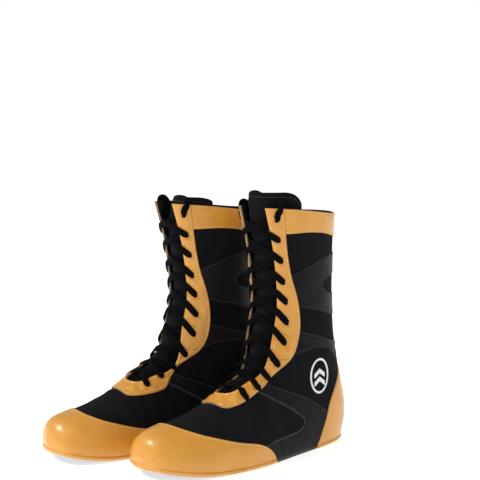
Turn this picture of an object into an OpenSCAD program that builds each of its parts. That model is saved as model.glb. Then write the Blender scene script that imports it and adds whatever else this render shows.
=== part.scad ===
// A pair of laced, mid-calf boxing boots, standing on a floor.
// Frame: +Z up, toes towards -Y, left boot at +X, right boot at -X.
// Each boot is drawn as a left boot in its own frame: toe tip at y = 0, heel near
// y = 296, x towards the outer side of the foot, and placed by boot().

/* [Pair] */
// Distance from the middle plane to the middle line of each boot
boot_spacing = 50; // [50:1:90]
// How far the left boot stands behind the right one
stagger = 48; // [44:1:80]
// Angle by which the left toe turns outwards
toe_out_left = 8; // [5:0.5:10]
// Angle by which the right toe turns outwards
toe_out_right = 3; // [3:0.5:10]

/* [Upper] */
// Thickness of the textile lining
lining_t = 1.4; // [1:0.1:1.4]
// Thickness of the inner layer of panels
panel_t = 1.2; // [0.8:0.1:1.2]
// Thickness of the gold overlays
overlay_t = 1.2; // [0.8:0.1:1.5]
// Air between one layer and the next
layer_gap = 0.1; // [0.1:0.05:0.2]
// Air between two panels that meet edge to edge
seam = 0.15; // [0.1:0.05:0.4]
// Width by which a panel reaches under its neighbour
underlap = 8; // [5:1:10]
// Half width of the opening between the facings
lace_gap = 20; // [16:1:21]

/* [Tongue] */
// Thickness of the padded tongue
tongue_t = 4; // [3:0.5:5]
// Height of the left tongue's top above the floor
tongue_top = 299; // [296:1:302]
// How much lower the right boot's tongue sits
right_drop = 10; // [0:1:10]
// How far the top of the left boot's tongue leans back
left_lean = 10; // [0:1:20]
// How far the top of the right boot's tongue leans back
right_lean = 28; // [0:1:30]

/* [Sole] */
// Thickness of the outsole
outsole_t = 3.9; // [3:0.1:3.9]
// Height by which the tip of the toe lifts off the floor
toe_spring = 12; // [0:1:14]
// How far the rand stands out round the toe and the heel
rand_t = 1.8; // [1:0.1:3]

/* [Lace] */
// Diameter of the lace, as a round cord of the same section
lace_d = 3.8; // [2.5:0.1:3.8]
// Radius of the punched lace holes
hole_r = 2.4; // [2:0.1:2.8]
// Length of the plastic tip at each lace end
aglet_l = 22; // [15:1:25]
// Radius of the plastic tip
aglet_r = 1.7; // [1.4:0.1:1.9]

/* [Hidden] */
PIECES = [
    "outsole", "insole_board", "sock_liner", "toe_rand", "heel_rand",
    "toe_cap", "toe_puff", "vamp", "midfoot_lateral", "midfoot_medial",
    "ankle_patch_lateral", "ankle_patch_medial", "ankle_band", "elastic_band",
    "shaft_leather", "shaft_textile", "collar_band", "heel_counter",
    "heel_stiffener", "facing_throat", "facing_lateral", "facing_medial",
    "tongue", "tongue_flap", "vamp_lining", "lining_lateral", "lining_medial",
    "lace", "lace_ends", "aglets"
];
SIDES = ["left", "right"];

gold = "#E6A042";
leather_black = "#222126";
textile_black = "#141318";
lining_black = "#1B1A1E";
sole_brown = "#2E2520";
board_tan = "#8A7A62";
lace_black = "#101014";

// Middle of the pair's width, from the plane between the boots
mid_x = 3.8;
// Middle of the pair's length, in boot coordinates
mid_y = 144.6;
// Point that the toe-out turns about
turn_y = 200;

// Sections of the upper, from the toe tip to above the collar. Each one lies in the
// plane through a front point F and a back point G and is two half superellipses:
// [y of F, z of F, y of G, z of G, half width, where the widest point lies from F to G,
//  exponent in front, exponent behind, x of the middle]
stations = [
    [0, 14, 0, 10, 2, 0.50, 2, 2, -9],
    [3, 27, 3, -4, 18, 0.55, 2, 2, -9],
    [12, 37, 12, -12, 30, 0.60, 2.1, 2, -9],
    [30, 45, 34, -14, 40, 0.66, 2.2, 2, -8],
    [58, 54, 74, -14, 47, 0.70, 2.2, 2, -4],
    [92, 68, 128, -14, 48, 0.73, 2.1, 2, 1],
    [122, 87, 196, -15, 41, 0.72, 2.1, 2, 3],
    [146, 109, 272, -14, 36, 0.62, 2.1, 2.1, 2],
    [159, 148, 294, 28, 36, 0.55, 2.2, 2.2, 0],
    [167, 177, 281, 84, 36, 0.52, 2.2, 2.2, 0],
    [166, 207, 272, 142, 36, 0.50, 2.2, 2.2, 0],
    [160, 242, 271, 205, 36, 0.50, 2.2, 2.2, 0],
    [150, 277, 273, 268, 37, 0.50, 2.2, 2.2, 0],
    [139, 312, 276, 306, 38, 0.50, 2.2, 2.2, 0]
];
last = len(stations) - 1;
ring_sides = 14;
// Places along the sections where the surface has a ring: closer over the toe and the heel
rings_at = [0, 0.4, 1, 2, 3, 4, 5, 6, 6.6, 7.2, 7.8, 8.4, 9, each [10 : last]];

// Layers, as distances outwards from the inner face of the panels
lining_in = -lining_t - layer_gap;
overlay_in = panel_t + layer_gap;
overlay_out = overlay_in + overlay_t;
lace_r = lace_d / 2;
lace_over = overlay_out + layer_gap + lace_r;
lace_under = lining_in - layer_gap - lace_r;
lace_crossing = lace_under + lace_d + layer_gap;
tongue_out = lace_under - lace_r - 0.5;
tongue_in = tongue_out - tongue_t;
upper_z = outsole_t + 0.1;
board_z = 1.4;
sock_z = 3;
far = 400;

// Side outlines, as points [y, z] that a smooth curve passes through
cap_edge = [[30, 62], [36, 53], [48, 47], [62, 42], [92, 33], [118, 27], [133, 20], [142, 11],
    [149, -4]];
vamp_under = [[62, 34], [92, 25], [118, 20], [140, 26], [170, 28], [188, 30], [197, 37], [190, 45],
    [175, 55], [147, 71], [128, 84]];
midfoot_top = [[140, 92], [166, 80], [189, 71], [209, 62], [237, 44], [250, 34]];
patch_top = [[150, 108], [180, 111], [202, 115], [219, 118], [239, 115], [259, 103], [274, 90]];
band_top = [[150, 149], [180, 144.5], [197, 140.5], [219, 134.5], [262, 120.5], [310, 112]];
elastic_top = [[150, 172], [180, 170], [197, 167], [221, 162], [263, 151.5], [310, 145]];
leather_top = [[150, 200], [172, 202], [187, 206.5], [211, 215], [243, 223], [310, 228]];
window = [[310, 175], [258, 177.5], [240, 182], [231.5, 190], [240, 196.5], [258, 200], [310, 201]];
collar_under = [[150, 253], [177, 252], [204, 252.5], [228, 250.5], [250, 246], [272, 241], [310, 236]];
collar_edge = [[130, 283], [160, 281.5], [180, 280], [203, 277.5], [249, 271.5], [275, 270], [310, 270.5]];
counter_edge = [[216, -10], [222, 6], [237, 34], [246, 54], [257, 71], [272, 91], [290, 109],
    [310, 122]];
facing_back = [[143, 81], [168, 97], [183, 107], [192, 119], [197, 138], [197, 157], [193, 179],
    [186, 202], [181, 226], [177, 252], [172, 285]];
tongue_back = [[96, 50], [150, 78], [190, 104], [208, 140], [207, 190], [204, 230], [203, 267]];
// Plan outlines, as points [x, y], of one half
throat_out = [[0, 88], [11, 90], [19, 95], [24, 103], [27, 121], [27, 151]];
throat_in = [[0, 106], [8, 108], [14, 116], [17, 132], [lace_gap, 152], [lace_gap, 215]];
facing_seam_z = 110;
facing_plan_y = 150;
facing_plan_z = 86;
// Joint between the tongue and its top flap: a wedge that opens behind the fold
flap_low = [[130, 275], [162, 275], [204, 281.5]];
tongue_end = [[204, 275], [162, 274], [110, 274], [96, 200]];
// Round end of the flap, as [y, share of the flap's height below its top]
flap_end = [[202, 0.77], [197, 0.41], [189, 0.14], [179, 0], [130, 0]];
flap_z = 282;
lean_from = 225;

// Lace holes, as [place along the sections, angle round the section]
holes = [[5.75, 31], [6.3, 34], [6.8, 37], [7.32, 42], [7.93, 46], [8.58, 46], [9.25, 44], [9.9, 42],
    [10.55, 42], [11.17, 42], [11.78, 43]];
edge_share = 0.6;
// Route of a free lace end inside the shaft, as [place along the sections, angle, layer]
end_route = [[11.9, 57, lace_under], [11.5, 62, lace_under], [11, 67, lace_under], [10.5, 72, lace_under],
    [10, 76, lace_under - 0.3], [9.5, 77, lace_under - 0.6], [9, 77, lace_under - 0.8],
    [8.7, 77, lace_under - 0.9]];
aglet_reach = 0.66;

// ---- Curves -------------------------------------------------------------------

function blend4(a, b, c, d, u) = 0.5 * (2 * b + (c - a) * u + (2 * a - 5 * b + 4 * c - d) * u * u
    + (3 * b - a - 3 * c + d) * u * u * u);
function before(list) = 2 * list[0] - list[1];
function after(list) = 2 * list[len(list) - 1] - list[len(list) - 2];
// Value of a list of points at a place between 0 and its last index
function along(list, t) = let (
        n = len(list) - 1,
        i = max(0, min(n - 1, floor(t))),
        a = i == 0 ? before(list) : list[i - 1],
        d = i == n - 1 ? after(list) : list[i + 2]
    ) blend4(a, list[i], list[i + 1], d, t - i);
function smooth(list, n = 2) = [for (k = [0 : n * (len(list) - 1)]) along(list, k / n)];

// ---- Surface of the upper ------------------------------------------------------

function lift(y) = toe_spring * pow(max(0, (85 - y) / 85), 2);
function swing(v, n) = sign(v) * pow(abs(v), 2 / n);
// Point at place t along the sections and angle a round them (0 in front, positive
// towards the outer side), d outside the inner face of the panels
function skin(t, a, d = 0) = let (
        s = along(stations, t),
        length = norm([s[2] - s[0], s[3] - s[1]]),
        c = cos(a),
        front = s[5] * length,
        reach = c >= 0 ? (front + d) * swing(c, s[6]) : (length - front + d) * swing(c, s[7]),
        x = (s[4] + d) * swing(sin(a), c >= 0 ? s[6] : s[7]),
        from_front = front - reach,
        y = s[0] + (s[2] - s[0]) / length * from_front - d * pow(max(0, 1 - t / 2), 2),
        z = s[1] + (s[3] - s[1]) / length * from_front
    ) [s[8] + x, y, z + lift(y)];
function unit(v) = v / norm(v);
function skin_normal(t, a) = unit(cross(
    skin(t, a + 1) - skin(t, a - 1),
    skin(t + 0.05, a) - skin(t - 0.05, a)
));

// Closed solid through rings of points
module loft(rings) {
    m = len(rings[0]);
    n = len(rings);
    sides = [for (j = [0 : n - 2], i = [0 : m - 1])
        [j * m + i, (j + 1) * m + i, (j + 1) * m + (i + 1) % m, j * m + (i + 1) % m]];
    polyhedron([for (r = rings, p = r) p], concat(
        [[for (i = [0 : m - 1]) i]],
        [for (f = sides) each [[f[0], f[1], f[2]], [f[0], f[2], f[3]]]],
        [[for (i = [m - 1 : -1 : 0]) (n - 1) * m + i]]
    ), convexity = 8);
}

// The whole foot and shaft, out to distance d
module foot(d, from = 0, lean = 0) {
    loft([for (t = rings_at) if (t >= from)
        [for (i = [0 : ring_sides - 1]) leaning(t, 360 * i / ring_sides, d, lean)]]);
}
// The same, with the front half leaning back by lean at the tongue's top
function leaning(t, a, d, lean) = let (
        s = along(stations, t),
        share = pow(max(0, (s[1] - lean_from) / (tongue_top - lean_from)), 2)
    ) skin(t, a, d) + lean * share * max(0, cos(a)) * unit([0, s[2] - s[0], s[3] - s[1]]);
module layer(d_in, d_out, from = 0, lean = 0) {
    difference() {
        foot(d_out, from, lean);
        foot(d_in, from, lean);
    }
}

// ---- Regions that cut the layers into panels ------------------------------------

// Everything whose side view lies inside the outline, between two values of x
module side_cut(outline, x_low = -80, x_high = 80) {
    translate([x_low, 0, 0]) rotate([90, 0, 90]) linear_extrude(x_high - x_low) polygon(outline);
}
module plan_cut(half) {
    right = smooth(half);
    left = [for (i = [len(right) - 1 : -1 : 1]) [-right[i][0], right[i][1]]];
    linear_extrude(far) polygon(concat(right, left));
}
function raised(outline, dz, dy = 0) = [for (p = outline) [p[0] + dy, p[1] + dz]];
// Side outline between an upper and a lower edge, both from front to back
function between(low, high) = concat(low, [for (i = [len(high) - 1 : -1 : 0]) high[i]]);
function floor_line(z) = [for (y = [each [-30 : 20 : 90], 320]) [y, z + lift(y)]];
function ceiling() = [[-30, far], [320, far]];

module upper_room() {
    side_cut(between(floor_line(upper_z), [[-30, far], [80, far], [81, 281], each smooth(collar_edge)]));
}
module over(edge, gap = 0) side_cut(between(raised(smooth(edge), gap), ceiling()));
module cap_room(gap = 0) {
    side_cut(concat([[-30, -20], [-30, 90], [20, 90]], raised(smooth(cap_edge), gap, gap)));
}
module counter_room(gap = 0) {
    side_cut(concat(raised(smooth(counter_edge), gap, gap), [[330, 120], [330, -10]]));
}
module vamp_room(gap = 0) {
    side_cut(concat([[-30, 34 + gap], [20, 44 + gap]], raised(smooth(vamp_under), 0, gap),
        [[128, far], [-30, far]]));
}
module facing_room(gap = 0) {
    intersection() {
        plan_cut([for (p = throat_out) [p[0] - gap * min(1, p[0]), p[1] + gap]]);
        translate([-60, 0, 40]) cube([120, facing_plan_y, far]);
    }
    side_cut(concat([[facing_plan_y, facing_plan_z + gap]],
        [for (p = smooth(facing_back)) if (p[0] > facing_plan_y) [p[0] - gap, p[1] + gap]],
        [[facing_plan_y, 290]]));
}
module opening_room() translate([0, 0, 40]) plan_cut(throat_in);
module half_space(side, gap = 0) {
    translate([side > 0 ? gap : -100, -30, -10]) cube([100 - gap, 360, far]);
}
module lace_holes() {
    for (h = holes, s = [-1, 1]) {
        n = skin_normal(h[0], s * h[1]);
        translate(skin(h[0], s * h[1], 0))
            rotate([0, acos(n[2]), atan2(n[1], n[0])])
            cylinder(r = hole_r, h = 16, center = true, $fn = 6);
    }
}

// Takes a soft panel as one mesh; its size is not changed
module as_mesh() resize([0, 0, 0]) children();

// A panel of one layer: children(0) is its region, the rest is taken away
module panel(d_in, d_out, from = 0) {
    as_mesh() difference() {
        intersection() {
            layer(d_in, d_out, from);
            upper_room();
            children(0);
        }
        opening_room();
        if ($children > 1) children([1 : $children - 1]);
    }
}
module inner_panel() {
    panel(0, panel_t) {
        children(0);
        union() {
            facing_room(-seam);
            children(1);
        }
    }
}
module overlay() {
    panel(overlay_in, overlay_out) {
        children(0);
        children(1);
    }
}
module nothing() translate([0, 0, -900]) cube(1);

// ---- Bottom of the boot ----------------------------------------------------------

module slab(d, z_low, z_high) {
    as_mesh() intersection() {
        foot(d);
        side_cut(between(floor_line(z_low), floor_line(z_high)));
    }
}
module rand(edge_room) {
    as_mesh() intersection() {
        layer(overlay_out + layer_gap, overlay_out + layer_gap + rand_t);
        side_cut(between(floor_line(0.8), floor_line(5)));
        if (edge_room == "toe") cap_room();
        if (edge_room == "heel") counter_room();
    }
}
module outsole() color(sole_brown) slab(overlay_in, 0, outsole_t);
module insole_board() color(board_tan) slab(lining_in - 0.2, upper_z, upper_z + board_z);
module sock_liner() {
    color(lining_black) slab(lining_in - 0.2, upper_z + board_z + 0.1, upper_z + board_z + 0.1 + sock_z);
}
module toe_rand() color(gold) rand("toe");
module heel_rand() color(gold) rand("heel");

// ---- Gold overlays ---------------------------------------------------------------

module toe_cap() {
    color(gold) overlay() {
        cap_room();
        nothing();
    }
}
module heel_counter() {
    color(gold) overlay() {
        counter_room();
        nothing();
    }
}
module collar_band() {
    color(gold) overlay() {
        over(collar_under);
        facing_room(-seam);
    }
}
// The facing is as thick as a panel and an overlay together
module facing_part(z_low, z_high, side = 0) {
    color(gold) panel(0, overlay_out) {
        intersection() {
            facing_room();
            translate([-60, 60, z_low]) cube([120, 200, z_high - z_low]);
            if (side != 0) half_space(side);
        }
        lace_holes();
    }
}
module facing_throat() facing_part(40, facing_seam_z);
module facing_lateral() facing_part(facing_seam_z + seam, far, 1);
module facing_medial() facing_part(facing_seam_z + seam, far, -1);

// ---- Inner panels ----------------------------------------------------------------

module toe_puff() {
    color(board_tan) panel(0, panel_t) {
        cap_room(-underlap - seam);
        nothing();
    }
}
module heel_stiffener() {
    color(board_tan) panel(0, panel_t) {
        counter_room(underlap + seam);
        nothing();
    }
}
module vamp() {
    color(textile_black) inner_panel() {
        vamp_room();
        cap_room(-underlap);
    }
}
module midfoot(side) {
    color(leather_black) inner_panel() {
        intersection() {
            difference() {
                side_cut(between([[100, -20], [330, -20]], smooth(midfoot_top)));
                vamp_room(seam);
            }
            half_space(side, seam / 2);
        }
        union() {
            cap_room(-underlap);
            counter_room(underlap);
        }
    }
}
module midfoot_lateral() midfoot(1);
module midfoot_medial() midfoot(-1);
module ankle_patch(side) {
    color(textile_black) inner_panel() {
        intersection() {
            side_cut(between(raised(smooth(midfoot_top), seam), smooth(patch_top)));
            half_space(side);
        }
        union() {
            vamp_room(seam);
            counter_room(underlap);
        }
    }
}
module ankle_patch_lateral() ankle_patch(1);
module ankle_patch_medial() ankle_patch(-1);
module ankle_band() {
    color(leather_black) inner_panel() {
        side_cut(between(concat(raised(smooth(patch_top), seam), [[330, 40]]), smooth(band_top)));
        union() {
            side_cut(between([[130, 40], [330, 40]], raised(smooth(midfoot_top), seam)));
            counter_room(underlap);
        }
    }
}
module elastic_band() {
    color(textile_black) inner_panel() {
        union() {
            side_cut(between(raised(smooth(band_top), seam), smooth(elastic_top)));
            side_cut(smooth(window));
        }
        nothing();
    }
}
module shaft_leather() {
    color(leather_black) inner_panel() {
        side_cut(between(raised(smooth(elastic_top), seam), smooth(leather_top)));
        side_cut([for (p = smooth(window)) [p[0] - seam, p[1] + seam * sign(p[1] - 187)]]);
    }
}
module shaft_textile() {
    color(textile_black) inner_panel() {
        over(leather_top, seam);
        nothing();
    }
}

// ---- Lining and tongue -------------------------------------------------------------

lining_joint_y = 128;
module vamp_lining() {
    color(lining_black) panel(lining_in, -layer_gap) {
        translate([-80, -30, -20]) cube([160, lining_joint_y + 30, 200]);
        lace_holes();
    }
}
module lining(side) {
    color(lining_black) panel(lining_in, -layer_gap) {
        intersection() {
            translate([-80, lining_joint_y + seam, -20]) cube([160, 220, 400]);
            half_space(side, seam / 2);
        }
        lace_holes();
    }
}
module lining_lateral() lining(1);
module lining_medial() lining(-1);
module tongue_layer(outline, side) {
    as_mesh() intersection() {
        layer(tongue_in, tongue_out, 4.5, side > 0 ? left_lean : right_lean);
        side_cut(outline);
    }
}
module tongue(side) {
    color(textile_black) tongue_layer(concat(smooth(tongue_back), tongue_end), side);
}
module tongue_flap(side) {
    top = tongue_top - (side > 0 ? 0 : right_drop);
    end = [for (p = flap_end) [p[0], top - p[1] * (top - flap_z)]];
    color(textile_black) tongue_layer(concat(flap_low, end), side);
}

// ---- Lace ------------------------------------------------------------------------------

function turn_normal(n, t) = unit(n - t * (n * t));
function tangent(route, i) = let (n = len(route) - 1)
    unit(unit(route[min(n, i + 1)] - route[i] + (i == n ? route[n] - route[n - 1] : [0, 0, 0]))
        + unit(route[i] - route[max(0, i - 1)] + (i == 0 ? route[1] - route[0] : [0, 0, 0])));
// First axis of each ring, carried along the route without twist
function carried(route, i, n) = i == len(route) ? []
    : let (m = turn_normal(n, tangent(route, i))) concat([m], carried(route, i + 1, m));
module cord(route, r, sides = 4) {
    axes = carried(route, 0, [0.31, 0.22, 0.93]);
    turns = [for (k = [0 : sides - 1]) 360 * k / sides];
    loft([for (i = [0 : len(route) - 1])
        let (u = axes[i], v = cross(tangent(route, i), u))
            [for (turn = turns) route[i] + r * (cos(turn) * u + sin(turn) * v)]]);
}
// Points from the hole in row i on side s, across to the next row's hole on the other side
function strand(i, s, crossing) = let (
        a = holes[i],
        b = holes[i + 1],
        rise = b[0] - a[0]
    ) [
        skin(a[0], s * a[1], lace_over),
        skin(a[0] + 0.2 * rise, s * a[1] * edge_share, lace_over),
        skin(a[0] + 0.5 * rise, 0, crossing),
        skin(a[0] + 0.8 * rise, -s * b[1] * edge_share, lace_under),
        skin(b[0], -s * b[1], lace_under)
    ];
rows = len(holes);
function half_lace(s) = concat(
        [skin(holes[0][0], s * 4, lace_under), skin(holes[0][0], s * holes[0][1] * 0.5, lace_under),
            skin(holes[0][0], s * holes[0][1], lace_under)],
        [for (i = [0 : rows - 2]) let (side = s * (i % 2 == 0 ? 1 : -1),
            high = (side > 0) == (i % 2 == 0)) each strand(i, side, high ? lace_crossing : lace_under)],
        let (side = s * ((rows - 1) % 2 == 0 ? 1 : -1), top = holes[rows - 1]) [
            skin(top[0], side * top[1], lace_over),
            skin(top[0] + 0.2, side * (top[1] + 3), lace_over),
            skin(12.32, side * 52, 2),
            skin(12.32, side * 54, -1.5),
            skin(end_route[0][0], side * end_route[0][1], end_route[0][2])
        ]
    );
module lace() {
    color(lace_black) as_mesh() union() {
        for (s = [-1, 1]) cord(half_lace(s), lace_r);
        cord([skin(holes[0][0], -5, lace_under), skin(holes[0][0], 5, lace_under)], lace_r - 0.02);
    }
}
function end_points(s) = [for (p = end_route) skin(p[0], s * p[1], p[2])];
module lace_ends() color(lace_black) as_mesh() union() for (s = [-1, 1]) cord(end_points(s), lace_r);
module aglets() {
    color(lace_black) for (s = [-1, 1]) {
        end = end_route[len(end_route) - 1];
        tip = skin(end[0], s * end[1], end[2]);
        way = unit(skin(end[0] - aglet_reach, s * end[1], end[2]) - tip);
        translate(tip + 0.1 * way)
            rotate([0, acos(way[2]), atan2(way[1], way[0])])
                cylinder(r = aglet_r, h = aglet_l, $fn = 24);
    }
}

// ---- Placing ---------------------------------------------------------------------------

module boot(side) {
    translate([side * boot_spacing - mid_x, turn_y - mid_y + side * stagger / 2, 0])
        mirror([side > 0 ? 0 : 1, 0, 0])
            rotate([0, 0, side > 0 ? toe_out_left : toe_out_right])
                translate([0, -turn_y, 0]) children();
}
module piece(name, side) {
    if (name == "outsole") outsole();
    if (name == "insole_board") insole_board();
    if (name == "sock_liner") sock_liner();
    if (name == "toe_rand") toe_rand();
    if (name == "heel_rand") heel_rand();
    if (name == "toe_cap") toe_cap();
    if (name == "toe_puff") toe_puff();
    if (name == "vamp") vamp();
    if (name == "midfoot_lateral") midfoot_lateral();
    if (name == "midfoot_medial") midfoot_medial();
    if (name == "ankle_patch_lateral") ankle_patch_lateral();
    if (name == "ankle_patch_medial") ankle_patch_medial();
    if (name == "ankle_band") ankle_band();
    if (name == "elastic_band") elastic_band();
    if (name == "shaft_leather") shaft_leather();
    if (name == "shaft_textile") shaft_textile();
    if (name == "collar_band") collar_band();
    if (name == "heel_counter") heel_counter();
    if (name == "heel_stiffener") heel_stiffener();
    if (name == "facing_throat") facing_throat();
    if (name == "facing_lateral") facing_lateral();
    if (name == "facing_medial") facing_medial();
    if (name == "tongue") tongue(side);
    if (name == "tongue_flap") tongue_flap(side);
    if (name == "vamp_lining") vamp_lining();
    if (name == "lining_lateral") lining_lateral();
    if (name == "lining_medial") lining_medial();
    if (name == "lace") lace();
    if (name == "lace_ends") lace_ends();
    if (name == "aglets") aglets();
}
for (s = SIDES, p = PIECES) {
    side = s == "left" ? 1 : -1;
    boot(side) piece(p, side);
}
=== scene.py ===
"""Looks of a pair of laced boxing boots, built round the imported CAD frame.

Each boot is modelled once as a left boot in its own frame, in millimetres: toe tip at
y = 0, heel near y = 296, x towards the outer side of the foot. put() then places it as
the left boot and, mirrored, as the right one, in the row frame and in metres.
"""
import math

import bpy
import numpy as np
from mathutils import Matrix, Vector


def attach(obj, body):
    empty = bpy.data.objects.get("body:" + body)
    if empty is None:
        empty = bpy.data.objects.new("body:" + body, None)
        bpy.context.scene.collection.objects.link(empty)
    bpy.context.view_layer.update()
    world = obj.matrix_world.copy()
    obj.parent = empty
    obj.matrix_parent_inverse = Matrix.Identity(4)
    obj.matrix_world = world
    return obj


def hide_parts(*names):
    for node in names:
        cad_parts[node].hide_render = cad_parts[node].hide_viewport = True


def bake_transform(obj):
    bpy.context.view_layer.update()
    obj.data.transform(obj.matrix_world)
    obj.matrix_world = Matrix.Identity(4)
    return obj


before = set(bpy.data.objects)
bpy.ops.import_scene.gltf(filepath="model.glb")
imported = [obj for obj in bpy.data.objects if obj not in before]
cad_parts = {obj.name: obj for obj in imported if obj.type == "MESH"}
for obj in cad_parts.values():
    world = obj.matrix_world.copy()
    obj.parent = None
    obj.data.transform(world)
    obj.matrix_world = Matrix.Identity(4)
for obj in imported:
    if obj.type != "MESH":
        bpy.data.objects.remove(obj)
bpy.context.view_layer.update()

MM = 0.001
SIDES = {"left": 1, "right": -1}

# ---- Driving sizes, as in the CAD part ----------------------------------------------
BOOT_SPACING, STAGGER = 50.0, 48.0
TOE_OUT = {1: math.radians(8), -1: math.radians(3)}
MID_X, MID_Y, TURN_Y = 3.8, 144.6, 200.0
TOE_SPRING, SPRING_Y = 12.0, 85.0
UPPER_Z = 4.0
LINING_IN, LINING_OUT = -1.5, -0.1
LACE_GAP = 20.0
HOLE_R = 2.3
TONGUE_TOP, TONGUE_DROP = 299.0, {1: 0.0, -1: 10.0}
TONGUE_LEAN, LEAN_FROM = {1: 10.0, -1: 28.0}, 225.0

# [front y, z, back y, z, half width, widest place, exponent in front, behind, middle x]
STATIONS = np.array([
    [0, 12.2, 0, 11.8, 0.2, 0.50, 2, 2, -9],
    [3, 27, 3, -4, 18, 0.55, 2, 2, -9],
    [12, 37, 12, -12, 30, 0.60, 2.1, 2, -9],
    [30, 45, 34, -14, 40, 0.66, 2.2, 2, -8],
    [58, 54, 74, -14, 47, 0.70, 2.2, 2, -4],
    [92, 68, 128, -14, 48, 0.73, 2.1, 2, 1],
    [122, 87, 196, -15, 41, 0.72, 2.1, 2, 3],
    [146, 109, 272, -14, 36, 0.62, 2.1, 2.1, 2],
    [159, 148, 294, 28, 36, 0.55, 2.2, 2.2, 0],
    [167, 177, 281, 84, 36, 0.52, 2.2, 2.2, 0],
    [166, 207, 272, 142, 36, 0.50, 2.2, 2.2, 0],
    [160, 242, 271, 205, 36, 0.50, 2.2, 2.2, 0],
    [150, 277, 273, 268, 37, 0.50, 2.2, 2.2, 0],
    [139, 312, 276, 306, 38, 0.50, 2.2, 2.2, 0],
])

# Side outlines [y, z] and plan outlines [x, y], each a smooth curve through its points
CAP_EDGE = [[30, 62], [36, 53], [48, 47], [62, 42], [92, 33], [118, 27], [133, 20], [142, 11], [149, -4]]
VAMP_EDGE = [[62, 34], [92, 25], [118, 20], [140, 26], [170, 28], [188, 30], [197, 37], [190, 45],
             [175, 55], [147, 71], [128, 84]]
MIDFOOT_TOP = [[140, 92], [166, 80], [189, 71], [209, 62], [237, 44], [250, 34]]
PATCH_TOP = [[150, 108], [180, 111], [202, 115], [219, 118], [239, 115], [259, 103], [274, 90]]
BAND_TOP = [[150, 149], [180, 144.5], [197, 140.5], [219, 134.5], [262, 120.5], [310, 112]]
ELASTIC_TOP = [[150, 172], [180, 170], [197, 167], [221, 162], [263, 151.5], [310, 145]]
LEATHER_TOP = [[150, 200], [172, 202], [187, 206.5], [211, 215], [243, 223], [310, 228]]
WINDOW = [[310, 175], [258, 177.5], [240, 182], [231.5, 190], [240, 196.5], [258, 200], [310, 201]]
COLLAR_UNDER = [[150, 253], [177, 252], [204, 252.5], [228, 250.5], [250, 246], [272, 241], [310, 236]]
COLLAR_EDGE = [[130, 283], [160, 281.5], [180, 280], [203, 277.5], [249, 271.5], [275, 270], [310, 270.5]]
COUNTER_EDGE = [[216, -10], [222, 6], [237, 34], [246, 54], [257, 71], [272, 91], [290, 109], [310, 122]]
FACING_BACK = [[143, 81], [168, 97], [183, 107], [192, 119], [197, 138], [197, 157], [193, 179],
               [186, 202], [181, 226], [177, 252], [172, 285]]
THROAT_OUT = [[0, 88], [11, 90], [19, 95], [24, 103], [27, 121], [27, 151], [27, 180]]
THROAT_IN = [[0, 106], [8, 108], [14, 116], [17, 132], [LACE_GAP, 152], [LACE_GAP, 215]]
FACING_SEAM = [[150, 109], [178, 109.5], [220, 112]]

# Lace holes: [place along the stations, angle round the section in degrees]
HOLES = [[5.75, 31], [6.3, 34], [6.8, 37], [7.32, 42], [7.93, 46], [8.58, 46], [9.25, 44], [9.9, 42],
         [10.55, 42], [11.17, 42], [11.78, 43]]


# ---- Surface of the upper ------------------------------------------------------------

def along(table, t):
    """Catmull-Rom curve through the rows of a table, at places t."""
    table = np.asarray(table, float)
    n = len(table) - 1
    t = np.clip(np.asarray(t, float), 0, n - 1e-9)
    i = np.floor(t).astype(int)
    u = (t - i)[..., None]
    padded = np.vstack([2 * table[0] - table[1], table, 2 * table[-1] - table[-2]])
    a, b, c, d = padded[i], padded[i + 1], padded[i + 2], padded[i + 3]
    return 0.5 * (2 * b + (c - a) * u + (2 * a - 5 * b + 4 * c - d) * u**2 + (3 * b - a - 3 * c + d) * u**3)


def lift(y):
    return TOE_SPRING * np.clip((SPRING_Y - y) / SPRING_Y, 0, None) ** 2


def skin(t, angle, d=0.0):
    """Points of the surface d outside the inner face of the panels; angle in degrees, 0 in front."""
    t, angle, d = np.broadcast_arrays(np.asarray(t, float), np.asarray(angle, float), np.asarray(d, float))
    fy, fz, by, bz, width, widest, n_front, n_back, mid = np.moveaxis(along(STATIONS, t), -1, 0)
    length = np.hypot(by - fy, bz - fz) + 1e-9
    c, s = np.cos(np.radians(angle)), np.sin(np.radians(angle))
    power = 2 / np.where(c >= 0, n_front, n_back)
    flat = d * np.clip(t / 0.6, 0, 1)
    front = widest * length
    reach = np.where(c >= 0, front + flat, -(length - front + flat)) * np.abs(c) ** power
    x = mid + np.sign(s) * (width + flat) * np.abs(s) ** power
    down = (front - reach) / length
    y = fy + (by - fy) * down - d * np.clip(1 - t / 2, 0, None) ** 2
    z = fz + (bz - fz) * down
    return np.stack([x, y, z + lift(y)], -1)


def unit(v):
    return v / np.maximum(np.linalg.norm(v, axis=-1, keepdims=True), 1e-12)


def normal(t, angle):
    across = skin(t, np.asarray(angle) + 1.0) - skin(t, np.asarray(angle) - 1.0)
    up = skin(np.asarray(t) + 0.04, angle) - skin(np.asarray(t) - 0.04, angle)
    return unit(np.cross(across, up))


def put(points, side):
    """Boot coordinates in millimetres to the row frame in metres."""
    p = np.asarray(points, float)
    c, s = math.cos(TOE_OUT[side]), math.sin(TOE_OUT[side])
    x = p[..., 0] * c - (p[..., 1] - TURN_Y) * s
    y = p[..., 0] * s + (p[..., 1] - TURN_Y) * c
    across = side * (BOOT_SPACING + x) - MID_X
    ahead = y + TURN_Y - MID_Y + side * STAGGER / 2
    return np.stack([across, ahead, p[..., 2]], -1) * MM


# ---- Distance fields: positive on the side that a panel keeps ---------------------------

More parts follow.
